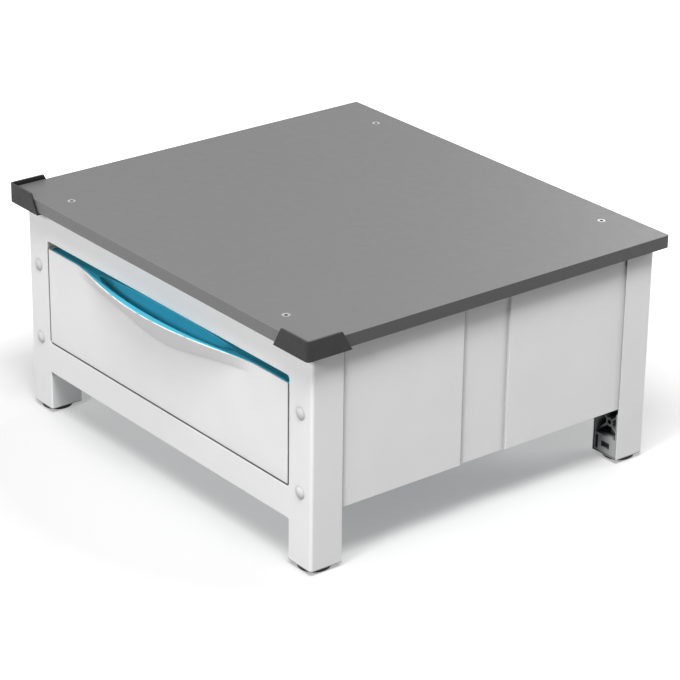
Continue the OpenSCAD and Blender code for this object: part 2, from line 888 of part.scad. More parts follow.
// A bored roller with bevelled rims, along +X
module roller() {
    difference() {
        translate([roller_bevel, 0, 0]) rod_x(roller_r, roller_w - 2 * roller_bevel);
        translate([-overcut, 0, 0]) rod_x(axle_r + turn_clear, roller_w + 2 * overcut);
    }
    for (end = [false, true])
        translate([end ? roller_w : 0, 0, 0]) flip_x(end)
            difference() {
                rotate([0, 90, 0])
                    cylinder(r1 = roller_r - roller_bevel, r2 = roller_r, h = roller_bevel);
                translate([-overcut, 0, 0]) rod_x(axle_r + turn_clear, roller_bevel + 2 * overcut);
            }
}

module runner_fixed() {
    length = runner_rear - runner_front;
    flange_w = web_in - flange_in + runner_t / 2;
    upper_y = front_roller_y + roller_r + 2 * screw_r;
    color(WHITE)
        difference() {
            union() {
                translate([web_in, runner_front, fixed_z0]) cube([runner_t, length, fixed_z1 - fixed_z0]);
                translate([flange_in, runner_front, fixed_z0]) cube([flange_w, length, runner_t]);
                translate([flange_in, upper_y, fixed_z1 - runner_t])
                    cube([flange_w, runner_rear - upper_y, runner_t]);
                translate([flange_in, stop_y, fixed_z0]) cube([flange_w, runner_t, stop_h]);
            }
            runner_screw_holes();
            translate([web_in, front_roller_y, front_roller_z]) axle_hole();
        }
}

module runner_moving() {
    web_x = tray_w / 2;
    front_y = tray_front + runner_gap;
    length = tray_rear - runner_gap - front_y;
    color(WHITE)
        difference() {
            union() {
                translate([web_x, front_y, moving_z0]) cube([runner_t, length, moving_z1 - moving_z0]);
                translate([web_x, front_y, moving_z1 - runner_t])
                    cube([web_in - web_gap - web_x, length, runner_t]);
            }
            moving_screw_holes();
            translate([web_x, rear_roller_y, runner_z]) axle_hole();
        }
}

// The holes for the screws between the moving runners and the tray
module moving_screw_holes() {
    for (s = SIDES)
        for (y = moving_screw_y)
            on_side(s) translate([tray_w / 2 - tray_wall - overcut, y, runner_z])
                rod_x(screw_r + screw_play, tray_wall + runner_t + 2 * overcut);
}

module runner_fixed_left() {
    on_side(LEFT) runner_fixed();
}

module runner_fixed_right() {
    on_side(RIGHT) runner_fixed();
}

module runner_moving_left() {
    on_side(LEFT) runner_moving();
}

module runner_moving_right() {
    on_side(RIGHT) runner_moving();
}

module runner_screws() {
    color(STEEL)
        for (s = SIDES)
            for (y = fixed_screw_y)
                on_side(s) translate([web_in, y, runner_z]) rotate([0, 90, 0]) small_screw(runner_screw_l);
}

module runner_moving_screws() {
    color(STEEL)
        for (s = SIDES)
            for (y = moving_screw_y)
                on_side(s) translate([tray_w / 2 + runner_t, y, runner_z])
                    rotate([0, -90, 0]) small_screw(runner_t + tray_wall);
}

module runner_axles() {
    color(STEEL)
        for (s = SIDES)
            on_side(s) translate([web_in, front_roller_y, front_roller_z])
                mirror([1, 0, 0]) axle(web_in - front_roller_x - roller_w - run_clear);
}

module drawer_axles() {
    web_x = tray_w / 2 + runner_t;
    color(STEEL)
        for (s = SIDES)
            on_side(s) translate([web_x, rear_roller_y, runner_z])
                axle(rear_roller_x - run_clear - web_x);
}

module roller_front(side) {
    color(NYLON) on_side(side) translate([front_roller_x, front_roller_y, front_roller_z]) roller();
}

module roller_rear(side) {
    color(NYLON) on_side(side) translate([rear_roller_x, rear_roller_y, runner_z]) roller();
}

module roller_front_left() {
    roller_front(LEFT);
}

module roller_front_right() {
    roller_front(RIGHT);
}

module roller_rear_left() {
    roller_rear(LEFT);
}

module roller_rear_right() {
    roller_rear(RIGHT);
}

// Drawer

// How far the lip stands forward at its rim
function lip_out(x) = abs(x) < lip_half_w ? lip_reach * pow(1 - pow(x / lip_half_w, 2), lip_power) : 0;

// How far below the rim the flare begins
function lip_fall(x) = lip_drop / (1 + pow(x / lip_spread, 2));

// The flare's share at a height from 0 at its crease to 1 at the rim, with a soft crease
function lip_rise(t) = t < -crease ? 0 : t < crease ? pow(t + crease, 2) / (4 * crease) : t;

// The drawer front's outer face
function lip_y(x, z) = face_y - lip_out(x) * lip_rise(1 - (rim_z - z) / lip_fall(x));

// The two triangles of a four-sided patch
function patch(a, b, c, d) = [[a, b, c], [a, c, d]];

// A sheet between two grids of points with the same rows and columns
module grid_sheet(near, far) {
    rows = len(near);
    cols = len(near[0]);
    count = rows * cols;
    points = [for (grid = [near, far]) for (row = grid) for (p = row) p];
    faces = [
        for (r = [0 : rows - 2]) for (c = [0 : cols - 2])
            for (f = patch(r * cols + c, (r + 1) * cols + c, (r + 1) * cols + c + 1, r * cols + c + 1)) f,
        for (r = [0 : rows - 2]) for (c = [0 : cols - 2])
            for (f = patch(count + r * cols + c, count + r * cols + c + 1,
                count + (r + 1) * cols + c + 1, count + (r + 1) * cols + c)) f,
        for (c = [0 : cols - 2])
            for (f = patch(c, c + 1, count + c + 1, count + c)) f,
        for (c = [0 : cols - 2])
            for (f = patch((rows - 1) * cols + c + 1, (rows - 1) * cols + c,
                count + (rows - 1) * cols + c, count + (rows - 1) * cols + c + 1)) f,
        for (r = [0 : rows - 2])
            for (f = patch((r + 1) * cols, r * cols, count + r * cols, count + (r + 1) * cols)) f,
        for (r = [0 : rows - 2])
            for (f = patch((r + 1) * cols - 1, (r + 2) * cols - 1,
                count + (r + 2) * cols - 1, count + (r + 1) * cols - 1)) f
    ];
    polyhedron(points = points, faces = faces);
}

// A closed solid through rings of points, with a point before the first ring and one after the last
module ring_solid(start, rings, end) {
    count = len(rings[0]);
    last = 1 + (len(rings) - 1) * count;
    points = [start, for (ring = rings) for (p = ring) p, end];
    faces = [
        for (i = [0 : count - 1]) [0, 1 + i, 1 + (i + 1) % count],
        for (k = [0 : len(rings) - 2]) for (i = [0 : count - 1])
            for (f = patch(1 + k * count + i, 1 + (k + 1) * count + i,
                1 + (k + 1) * count + (i + 1) % count, 1 + k * count + (i + 1) % count)) f,
        for (i = [0 : count - 1]) [last + i, len(points) - 1, last + (i + 1) % count]
    ];
    polyhedron(points = points, faces = faces);
}

// The heights of the drawer front's rows at one place across
function front_heights(x) = concat([front_z0], [for (t = lip_rows) rim_z - lip_fall(x) * (1 - t)]);

function front_grid(depth) = [
    for (row = [0 : len(lip_rows)])
        [
            for (c = [0 : front_columns])
                let (x = front_w * (c / front_columns - 0.5), z = front_heights(x)[row])
                    [x, lip_y(x, z) + depth, z]
        ]
];

module drawer_front() {
    side_l = tray_front - face_y;
    tab_w = front_w / 2 - tray_screw_x + 2 * screw_head_r;
    tab_h = rim_z - tab_drop - front_z0;
    color(WHITE) {
        grid_sheet(front_grid(0), front_grid(front_t));
        difference() {
            union() {
                for (s = SIDES)
                    on_side(s) {
                        translate([front_w / 2 - front_t, face_y + front_t, front_z0])
                            cube([front_t, side_l - front_t, rim_z - front_z0]);
                        translate([front_w / 2 - tab_w, tray_front - front_t, front_z0])
                            cube([tab_w, front_t, tab_h]);
                    }
                translate([-front_w / 2, face_y + front_t, front_z0])
                    cube([front_w, side_l - front_t, front_t]);
            }
            drawer_screw_holes();
        }
    }
}

// Puts children at the drawer front's screws, on the tray's front wall
module at_drawer_screws() {
    for (s = SIDES)
        for (z = tray_screw_z)
            translate([s * tray_screw_x, tray_front, z]) children();
}

module drawer_screw_holes() {
    at_drawer_screws()
        translate([0, -front_t - overcut, 0]) rod_y(screw_r + screw_play, front_t + tray_wall + 2 * overcut);
}

// A point on the pocket's surface at an angle and a share of its outline, moved out and down by a wall
function pocket_point(a, share, wall) =
    let (
        reach = (a < 180 ? pocket_back + wall : -pocket_front - wall) * pow(abs(sin(a)), pocket_fullness),
        shift = pocket_setback + pocket_lean * (1 - share * share)
    )
        [
            (pocket_half_w + wall) * share * cos(a),
            face_y + shift + reach * share,
            rim_z - wall - pocket_depth * sqrt(1 - share * share)
        ];

// A point on the moulding's outline
function mould_point(a, z) =
    let (reach = front_w / 2 - front_t - fit_gap, x = reach * cos(a) / cos(180 / mould_columns))
        [x, a < 180 ? tray_front : lip_y(x, z) + front_t + fit_gap, z];

module drawer_moulding() {
    angles = [for (i = [0 : mould_columns - 1]) (i + 0.5) * 360 / mould_columns];
    upper = concat(
        [for (share = pocket_shares) [for (a = angles) pocket_point(a, share, 0)]],
        [[for (a = angles) mould_point(a, rim_z)]]
    );
    lower = concat(
        [[for (a = angles) mould_point(a, rim_z - mould_t)]],
        [
            for (i = [len(pocket_shares) - 1 : -1 : 0])
                [for (a = angles) pocket_point(a, pocket_shares[i], mould_t)]
        ]
    );
    color(TEAL)
        ring_solid(pocket_point(0, 0, 0), concat(upper, lower), pocket_point(0, 0, mould_t));
}

// The tray's floor, on which its four walls stand
module tray_floor() {
    color(TEAL)
        translate([-tray_w / 2, tray_front, tray_z0]) cube([tray_w, tray_d, tray_wall]);
}

// The upright part of a tray wall between two places across
module tray_panel(x0, x1, y0, y1) {
    floor_z1 = tray_z0 + tray_wall;
    translate([x0, y0, floor_z1]) cube([x1 - x0, y1 - y0, rim_z - floor_z1]);
}

// A tray side, drawn on the right, with its rim along the top
module tray_side() {
    color(TEAL)
        difference() {
            union() {
                tray_panel(tray_w / 2 - tray_wall, tray_w / 2, tray_front, tray_rear);
                translate([tray_w / 2 - tray_wall, tray_front, rim_z - tray_wall])
                    cube([tray_wall + tray_rim_w, tray_d, tray_wall]);
            }
            moving_screw_holes();
        }
}

module tray_side_left() {
    on_side(LEFT) tray_side();
}

module tray_side_right() {
    on_side(RIGHT) tray_side();
}

module tray_front_wall() {
    inner_x = tray_w / 2 - tray_wall;
    color(TEAL)
        difference() {
            tray_panel(-inner_x, inner_x, tray_front, tray_front + tray_wall);
            drawer_screw_holes();
        }
}

module tray_rear_wall() {
    inner_x = tray_w / 2 - tray_wall;
    color(TEAL) {
        tray_panel(-inner_x, inner_x, tray_rear - tray_wall, tray_rear);
        translate([-inner_x, tray_rear - tray_wall, rim_z - tray_wall])
            cube([2 * inner_x, tray_wall + tray_rim_w, tray_wall]);
    }
}

module drawer_screws() {
    color(STEEL)
        at_drawer_screws()
            translate([0, tray_wall, 0])
                rotate([90, 0, 0]) small_screw(tray_wall + front_t + drawer_screw_tail);
}

top_board();
board_screws();
corner_guard_left();
corner_guard_right();
guard_screws();
front_frame();
rear_frame();
side_sheet_front_left();
side_sheet_front_right();
side_sheet_rear_left();
side_sheet_rear_right();
frame_screws();
screw_caps();
insert_front_left();
insert_front_right();
insert_rear_left();
insert_rear_right();
foot_pad_front_left();
foot_pad_front_right();
foot_pad_rear_left();
foot_pad_rear_right();
foot_stud_front_left();
foot_stud_front_right();
foot_stud_rear_left();
foot_stud_rear_right();
runner_fixed_left();
runner_fixed_right();
runner_screws();
runner_axles();
roller_front_left();
roller_front_right();
drawer_front();
drawer_moulding();
tray_floor();
tray_side_left();
tray_side_right();
tray_front_wall();
tray_rear_wall();
drawer_screws();
runner_moving_left();
runner_moving_right();
runner_moving_screws();
drawer_axles();
roller_rear_left();
roller_rear_right();
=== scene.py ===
"""A raised laundry base with a drawer: finishes, dressed pieces, studio and camera."""
import json
import math

import bmesh
import bpy
from mathutils import Matrix, Vector


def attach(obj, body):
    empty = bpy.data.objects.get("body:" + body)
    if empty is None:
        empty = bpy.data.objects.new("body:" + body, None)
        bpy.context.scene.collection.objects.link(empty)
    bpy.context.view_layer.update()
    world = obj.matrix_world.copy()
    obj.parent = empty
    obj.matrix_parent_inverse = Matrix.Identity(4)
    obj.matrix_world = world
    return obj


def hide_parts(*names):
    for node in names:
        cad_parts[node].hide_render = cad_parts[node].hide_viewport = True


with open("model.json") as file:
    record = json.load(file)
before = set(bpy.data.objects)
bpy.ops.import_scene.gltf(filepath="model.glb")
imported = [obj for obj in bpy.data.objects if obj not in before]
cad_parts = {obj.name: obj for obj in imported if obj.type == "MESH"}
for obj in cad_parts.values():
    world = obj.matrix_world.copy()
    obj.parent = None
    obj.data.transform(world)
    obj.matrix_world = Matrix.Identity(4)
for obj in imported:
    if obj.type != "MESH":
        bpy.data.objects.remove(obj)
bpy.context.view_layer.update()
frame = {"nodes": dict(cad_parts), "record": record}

MM = 0.001
WHITE = (1, 1, 1, 1)
BLACK = (0, 0, 0, 1)

# The photograph's camera, found from the object's straight edges
CAMERA_AZIMUTH = 51.52
CAMERA_ELEVATION = 24.08
CAMERA_ROLL = 0.74
CAMERA_PLACE = (2.4558, -1.9359, 1.5209)
CAMERA_FOCAL_PX = 2763.2
IMAGE_PX = 680
SENSOR_MM = 36.0
CLIP_END = 50

# Sizes of the dressed pieces, most of them shared with the solids, in millimetres. LIP_POWER, LIP_CREASE and
# POCKET_FULLNESS are plain numbers.
LIP_REACH = 25.9
LIP_HALF_W = 180.0
LIP_DROP = 39.0
LIP_SPREAD = 129.0
LIP_POWER = 1.26
LIP_CREASE = 0.035
FRONT_T = 1.2
FIT_GAP = 0.2
MOULD_T = 2.5
POCKET_HALF_W = 138.0
POCKET_SETBACK = 6.0
POCKET_BACK = 8.0
POCKET_FRONT = 20.4
RIM_STEP = 0.7
RIM_STEP_W = 3.4
FRONT_W = 489.8
FRONT_Z0 = 100.0
RIM_Z = 225.8
FACE_Y = -251.8
TRAY_FRONT = -225.8
TAB_DROP = 10.0
TAB_W = 39.0
PRESS_R = 1.2
TRAY_W = 463.8
TRAY_REAR = 212.2
TRAY_Z0 = 104.0
TRAY_WALL = 3.0
TRAY_RIM_W = 5.0
TRAY_CORNER_R = 12.0
FOOT_X = 268.3
FOOT_Y = (-230.8, 244.1)
STUD_R = 5.0
STUD_Z0 = 2.97
STUD_TOP = 47.7
THREAD_Z0 = 6.2
THREAD_RUN = STUD_TOP - 7.5
THREAD_PITCH = 1.5
THREAD_DEPTH = 0.7
SOCKET_R = 2.5
SOCKET_D = 5.0
POCKET_DEPTH = 26.0
POCKET_LEAN = 7.0
POCKET_FULLNESS = 1.2

# How finely the dressed pieces are divided
FRONT_COLUMNS = 96
FACE_ROWS = 10
FLARE_ROWS = 26
ARC_STEPS = 6
MOULD_COUNT = 240
CORNER_STEPS = 8
PAD_COUNT = 72
STUD_COUNT = 24
ROWS_PER_TURN = 8

# How the meshes are cleaned and their edges rounded: lengths in millimetres and angles in degrees
ROUND_R = 0.7
ROUND_MID = 0.2
WELD_MM = 0.02
FLAT_ANGLE = 0.3
EDGE_ANGLE = 35
EDGE_SEGMENTS = 2
RIM_BEVEL = 0.35
RIM_ANGLE = 50
RIM_SEGMENTS = 3

# Painted shade for narrow places, darker where less of the surround is open: (openness, tone) stops, and the
# width in millimetres up to which they count
CREVICE = ((0.45, 0.16), (0.75, 0.28), (0.9, 0.68), (0.98, 1.0))
GAP = ((0.4, 0.26), (0.72, 0.46), (0.9, 0.84), (0.98, 1.0))
CREVICE_MM = 8.0
RECESS = ((0.25, 0.25), (0.48, 0.4), (0.68, 1.0))
RECESS_MM = 14.0
SCREW_MM = 3.0
OPENNESS_SAMPLES = 8

# In metres: the sheets' seams get none of the painted crevice shade behind the first depth and below the
# shaded strip under the board, which begins between the two heights
UNSHADED_Y = 0.15
UNSHADED_TOP = (0.262, 0.267)

# Between which of its values a noise changes a colour or a roughness
NOISE_LOW = 0.3
NOISE_HIGH = 0.7

# Studio: name, place, size, watts and whether the lamp shows in reflections
LIGHTS = (
    ("front_graze", (1.1, -3.7, 2.3), (1.0, 0.9), 111, True),
    ("right_top", (1.0, -1.5, 3.9), (1.6, 1.2), 104, True),
    ("right_high", (1.85, -0.7, 4.2), (1.2, 1.2), 124, True),
    ("rear_glow", (-1.6, 4.0, 1.9), (2.6, 1.6), 74, True),
    ("left_fill", (-3.8, 0.2, 1.0), (1.6, 1.0), 30, False),
    ("rear_right", (1.0, 4.0, 1.6), (1.8, 1.2), 112, False),
)
LAMP_TARGET = (0, 0, 0.15)
WORLD_LEVEL = 0.02
# The floor glows with painted light for the camera: FLOOR_GLOW near the object, rising to white across
# FLOOR_FADE metres
FLOOR_HALF = 20.0
FLOOR_SEEN = 0.40
FLOOR_CAST = 0.22
FLOOR_GLOW = 0.315
FLOOR_FADE = (0.42, 1.0)


def srgb(r, g, b):
    """A linear colour from the 0-255 values that it shows on a screen."""
    def linear(v):
        v = v / 255
        return v / 12.92 if v <= 0.04045 else ((v + 0.055) / 1.055) ** 2.4
    return (linear(r), linear(g), linear(b), 1.0)


def grey(tone):
    """An opaque grey."""
    return (tone, tone, tone, 1)


def tinted(colour, factor):
    """A colour made lighter or darker."""
    return tuple(min(c * factor, 1.0) for c in colour[:3]) + (1.0,)


# Finishes

class Finish:
    """A procedural material whose nodes are added one after another."""

    def __init__(self, name, roughness, specular=0.5, metallic=0.0):
        self.material = bpy.data.materials.new(name)
        self.material.use_nodes = True
        self.nodes = self.material.node_tree.nodes
        self.links = self.material.node_tree.links
        self.shader = self.nodes["Principled BSDF"]
        self.shader.inputs["Roughness"].default_value = roughness
        self.shader.inputs["Specular IOR Level"].default_value = specular
        self.shader.inputs["Metallic"].default_value = metallic
        self.coords = self.nodes.new("ShaderNodeTexCoord")

    def noise(self, size_mm, detail=2.0, stretch=(1, 1, 1)):
        """A noise whose features are about size_mm across."""
        mapping = self.nodes.new("ShaderNodeMapping")
        mapping.inputs["Scale"].default_value = stretch
        self.links.new(self.coords.outputs["Object"], mapping.inputs["Vector"])
        noise = self.nodes.new("ShaderNodeTexNoise")
        noise.inputs["Scale"].default_value = 1 / (size_mm * MM)
        noise.inputs["Detail"].default_value = detail
        self.links.new(mapping.outputs["Vector"], noise.inputs["Vector"])
        return noise.outputs["Fac"]

    def ramp(self, factor, stops):
        """Values or colours along a factor, given as (place, colour) stops."""
        ramp = self.nodes.new("ShaderNodeValToRGB")
        elements = ramp.color_ramp.elements
        while len(elements) < len(stops):
            elements.new(0.5)
        for element, (place, colour) in zip(elements, stops):
            element.position = place
            element.color = colour
        self.links.new(factor, ramp.inputs["Fac"])
        return ramp.outputs["Color"]

    def mix(self, factor, first, second, blend="MIX"):
        """Two colours mixed, where each may be a socket or a value."""
        mix = self.nodes.new("ShaderNodeMix")
        mix.data_type = "RGBA"
        mix.blend_type = blend
        for socket, value in ((mix.inputs[0], factor), (mix.inputs[6], first), (mix.inputs[7], second)):
            if isinstance(value, bpy.types.NodeSocket):
                self.links.new(value, socket)
            else:
                socket.default_value = value
        return mix.outputs[2]

    def size_of(self, socket):
        """A number without its sign."""
        size = self.nodes.new("ShaderNodeMath")
        size.operation = "ABSOLUTE"
        self.links.new(socket, size.inputs[0])
        return size.outputs[0]

    def split(self, output):
        """The three parts of a texture coordinate."""
        split = self.nodes.new("ShaderNodeSeparateXYZ")
        self.links.new(self.coords.outputs[output], split.inputs["Vector"])
        return [split.outputs[axis] for axis in "XYZ"]

    def product(self, first, second):
        """Two numbers multiplied."""
        product = self.nodes.new("ShaderNodeMath")
        product.operation = "MULTIPLY"
        self.links.new(first, product.inputs[0])
        self.links.new(second, product.inputs[1])
        return product.outputs[0]

    def painted_crevice_shade(self, colour, reach_mm, tones=CREVICE):
        """A colour darkened with painted shade in gaps and inner corners which are narrower than a reach."""
        crevice = self.nodes.new("ShaderNodeAmbientOcclusion")
        crevice.samples = OPENNESS_SAMPLES
        crevice.inputs["Distance"].default_value = reach_mm * MM
        shade = self.ramp(crevice.outputs["AO"], [(place, grey(tone)) for place, tone in tones])
        return self.mix(1.0, colour, shade, "MULTIPLY")

    def colour(self, socket):
        """Sets the base colour."""
        self.links.new(socket, self.shader.inputs["Base Color"])

    def roughness(self, factor, low, high):
        """Roughness that changes between two values with a factor."""
        spread = self.nodes.new("ShaderNodeMapRange")
        spread.inputs["From Min"].default_value = NOISE_LOW
        spread.inputs["From Max"].default_value = NOISE_HIGH
        spread.inputs["To Min"].default_value = low
        spread.inputs["To Max"].default_value = high
        self.links.new(factor, spread.inputs["Value"])
        self.links.new(spread.outputs["Result"], self.shader.inputs["Roughness"])

    def bump(self, heights):
        """Bumps from (factor, height in mm) pairs, one on top of the other."""
        normal = None
        for factor, height_mm in heights:
            bump = self.nodes.new("ShaderNodeBump")
            bump.inputs["Strength"].default_value = 1.0
            bump.inputs["Distance"].default_value = height_mm * MM
            self.links.new(factor, bump.inputs["Height"])
            if normal:
                self.links.new(normal, bump.inputs["Normal"])
            normal = bump.outputs["Normal"]
        self.links.new(normal, self.shader.inputs["Normal"])


def varied(finish, colour, size_mm, spread):
    """A colour that drifts by a small share over distances of size_mm."""
    return finish.ramp(finish.noise(size_mm), [
        (NOISE_LOW, tinted(colour, 1 - spread)),
        (NOISE_HIGH, tinted(colour, 1 + spread)),
    ])


def powder_coat(name, colour, roughness, tones, bend_shade_tone=1.0, unshaded_y=1.0):
    """Sheet steel under a powder coat with a fine orange peel, with painted shade in its gaps and inner
    corners.

    Upright bends get a painted shade, and the seams that lie behind a given depth in metres get none of the
    painted crevice shade.
    """
    finish = Finish(name, roughness, specular=0.45)
    across, along = finish.split("Normal")[:2]
    slant = finish.product(finish.size_of(across), finish.size_of(along))
    # Painted shade on upright bends, which would otherwise show lighter where the lamps strike them
    bend_shade = finish.ramp(slant, [(0.3, WHITE), (0.46, grey(bend_shade_tone))])
    coat = finish.mix(1.0, varied(finish, colour, 60, 0.012), bend_shade, "MULTIPLY")
    # Where the painted crevice shade is left out: behind a depth and below the strip under the board
    depth, height = finish.split("Object")[1:]
    behind = finish.ramp(depth, [(unshaded_y - MM, BLACK), (unshaded_y, WHITE)])
    lower = finish.ramp(height, [(UNSHADED_TOP[0], WHITE), (UNSHADED_TOP[1], BLACK)])
    unshaded = finish.product(behind, lower)
    finish.colour(finish.mix(unshaded, finish.painted_crevice_shade(coat, CREVICE_MM, tones), coat))
    finish.roughness(finish.noise(9), roughness - 0.05, roughness + 0.05)
    finish.bump([(finish.noise(1.6, 1.0), 0.012), (finish.noise(70, 0.0), 0.05)])
    return finish.material


def moulded_plastic(name, colour, roughness, grain_mm=0.5, grain_h=0.02, spread=0.03, specular=0.5,
                    recess=(CREVICE_MM, CREVICE)):
    """Injection-moulded plastic with a fine spark-eroded grain, and painted shade in its gaps and recesses.
    """
    finish = Finish(name, roughness, specular=specular)
    # Painted shade in gaps and recesses
    finish.colour(finish.painted_crevice_shade(varied(finish, colour, 18, spread), *recess))
    finish.roughness(finish.noise(6), roughness - 0.04, roughness + 0.05)
    finish.bump([(finish.noise(grain_mm, 3.0), grain_h)])
    return finish.material


def laminate(name, colour, lit_front_colour, shaded_side_colour, arris_highlight_colour):
    """A grey laminated board with a fine speckle and edge bands, which carry painted shade at the sides and
    painted light at the front and rear, and a painted highlight along the arris round its top.
    """
    finish = Finish(name, 0.42, specular=0.4)
    fine = finish.ramp(finish.noise(0.9, 3.0), [
        (0.35, tinted(colour, 0.97)),
        (0.65, tinted(colour, 1.03)),
    ])
    cloud = finish.ramp(finish.noise(90), [
        (NOISE_LOW, grey(0.98)),
        (NOISE_HIGH, WHITE),
    ])
    top = finish.mix(1.0, fine, cloud, "MULTIPLY")
    across, along, up = (finish.size_of(part) for part in finish.split("Normal"))
    # Painted highlight along the top arris
    arris = finish.ramp(up, [(0.1, BLACK), (0.5, WHITE), (0.85, WHITE), (0.98, BLACK)])
    # Painted shade on the side bands, painted light on the front and rear bands
    sides = finish.mix(across, top, varied(finish, shaded_side_colour, 2.5, 0.05))
    bands = finish.mix(along, sides, varied(finish, lit_front_colour, 2.5, 0.05))
    finish.colour(finish.mix(arris, bands, arris_highlight_colour))
    finish.roughness(finish.noise(14), 0.42, 0.46)
    finish.bump([(finish.noise(0.7, 2.0), 0.012)])
    return finish.material


def plated_steel(name, colour, roughness):
    """Zinc-plated steel with fine turning marks, and painted shade in its recesses."""
    finish = Finish(name, roughness, metallic=1.0)
    finish.colour(finish.painted_crevice_shade(varied(finish, colour, 3, 0.06), SCREW_MM))
    finish.roughness(finish.noise(1.5), roughness - 0.06, roughness + 0.08)
    finish.bump([(finish.noise(0.4, 2.0, (1, 1, 6)), 0.008)])
    return finish.material


def rubber(name, colour):
    """Black rubber with a dusty bloom."""
    finish = Finish(name, 0.62, specular=0.35)
    finish.colour(varied(finish, colour, 7, 0.18))
    finish.roughness(finish.noise(4), 0.55, 0.72)
    finish.bump([(finish.noise(0.6, 3.0), 0.03)])
    return finish.material


FINISHES = {
    # Both white coats carry painted shade in narrow places; the side sheets also on their upright bends
    "white_steel": powder_coat("white_powder_coat", srgb(232, 232, 232), 0.36, GAP),
    "sheet_steel": powder_coat("white_sheet_coat", srgb(232, 232, 232), 0.36, CREVICE,
                               bend_shade_tone=0.93, unshaded_y=UNSHADED_Y),
    "cap": moulded_plastic("white_cap_plastic", srgb(200, 200, 200), 0.46,
                           grain_h=0.006, spread=0.012, specular=0.35),
    # The board's edge colours are painted shade at the sides and painted light at the front and rear, and
    # its arris colour a painted highlight
    "board": laminate("grey_laminate", srgb(89, 89, 89), srgb(103, 103, 103), srgb(60, 60, 60),
                      srgb(152, 152, 152)),
    "guard": moulded_plastic("charcoal_plastic", srgb(44, 44, 45), 0.54, spread=0.05, specular=0.25),
    # The teal takes a wider, darker painted shade, in the finger pocket and on the ledge under the rail
    "teal": moulded_plastic("teal_plastic", srgb(60, 166, 192), 0.34, grain_mm=0.4, grain_h=0.008,
                            recess=(RECESS_MM, RECESS)),
    "insert": moulded_plastic("grey_insert_plastic", srgb(166, 166, 166), 0.5, spread=0.06),
    "pad": rubber("black_pad_rubber", srgb(40, 41, 42)),
    "steel": plated_steel("zinc_plated_steel", srgb(190, 192, 195), 0.3),
    "nylon": moulded_plastic("roller_nylon", srgb(222, 222, 212), 0.4),
}


def finish_nodes():
    """Gives every solid the finish of its material slot, and the side sheets their own."""
    slots = {part["node"]: part["material_slot"] for part in frame["record"]["subparts"]}
    for node, obj in frame["nodes"].items():
        finish = "sheet_steel" if node.startswith("side_sheet") else slots[node]
        obj.data.materials.clear()
        obj.data.materials.append(FINISHES[finish])


# Pieces in mesh code

def lip_out(x):
    """How far the flared lip stands out at its rim, at a place across the front."""
    return LIP_REACH * (1 - (x / LIP_HALF_W) ** 2) ** LIP_POWER if abs(x) < LIP_HALF_W else 0.0


def lip_fall(x):
    """How far below the rim the flare begins."""
    return LIP_DROP / (1 + (x / LIP_SPREAD) ** 2)


def lip_rise(t):
    """How far the flare has come out at a share of its height, with a soft start."""
    if t < -LIP_CREASE:
        return 0.0
    return (t + LIP_CREASE) ** 2 / (4 * LIP_CREASE) if t < LIP_CREASE else t


def lip_y(x, z):
    """The drawer front's outer face."""
    return FACE_Y - lip_out(x) * lip_rise(1 - (RIM_Z - z) / lip_fall(x))


def make_piece(name, points, faces, finish, body, nodes):
    """A piece from points in millimetres, which stands for CAD nodes and rides on their body."""
    mesh = bpy.data.meshes.new(name)
    mesh.from_pydata([[c * MM for c in p] for p in points], [], faces)
    mesh.materials.append(FINISHES[finish])
    work = bmesh.new()
    work.from_mesh(mesh)
    bmesh.ops.remove_doubles(work, verts=work.verts, dist=WELD_MM * MM)
    bmesh.ops.recalc_face_normals(work, faces=work.faces)
    work.to_mesh(mesh)
    work.free()
    mesh.shade_smooth()
    piece = bpy.data.objects.new(name, mesh)
    bpy.context.scene.collection.objects.link(piece)
    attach(piece, body)
    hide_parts(*nodes)
    return piece


def soften(obj, width):
    """Rounds an object's sharp edges with modifiers and keeps its flat faces flat."""
    weld = obj.modifiers.new("weld", "WELD")
    weld.merge_threshold = WELD_MM * MM
    flat = obj.modifiers.new("flat", "DECIMATE")
    flat.decimate_type = "DISSOLVE"
    flat.angle_limit = math.radians(FLAT_ANGLE)
    bevel = obj.modifiers.new("soft_edges", "BEVEL")
    bevel.width = width * MM
    bevel.segments = EDGE_SEGMENTS
    bevel.limit_method = "ANGLE"
    bevel.angle_limit = math.radians(EDGE_ANGLE)
    shade = obj.modifiers.new("even_shade", "WEIGHTED_NORMAL")
    shade.keep_sharp = True
    shade.weight = 100


class Net:
    """Points and faces of a mesh that is laid out patch by patch."""

    def __init__(self):
        self.points = []
        self.faces = []

    def grid(self, rows, closed=False):
        """A patch through rows of points; closed joins each row's ends."""
        start = len(self.points)
        count = len(rows[0])
        for row in rows:
            self.points.extend(row)
        for r in range(len(rows) - 1):
            for c in range(count if closed else count - 1):
                n = (c + 1) % count
                self.faces.append((start + r * count + c, start + r * count + n,
                                   start + (r + 1) * count + n, start + (r + 1) * count + c))

    def fan(self, ring, tip):
        """Triangles between a closed ring and a point."""
        start = len(self.points)
        self.points.extend(ring)
        self.points.append(tip)
        count = len(ring)
        self.faces.extend((start + i, start + (i + 1) % count, start + count) for i in range(count))


def spaced(start, end, steps):
    """Evenly spaced values from start to end."""
    return [start + (end - start) * i / steps for i in range(steps + 1)]


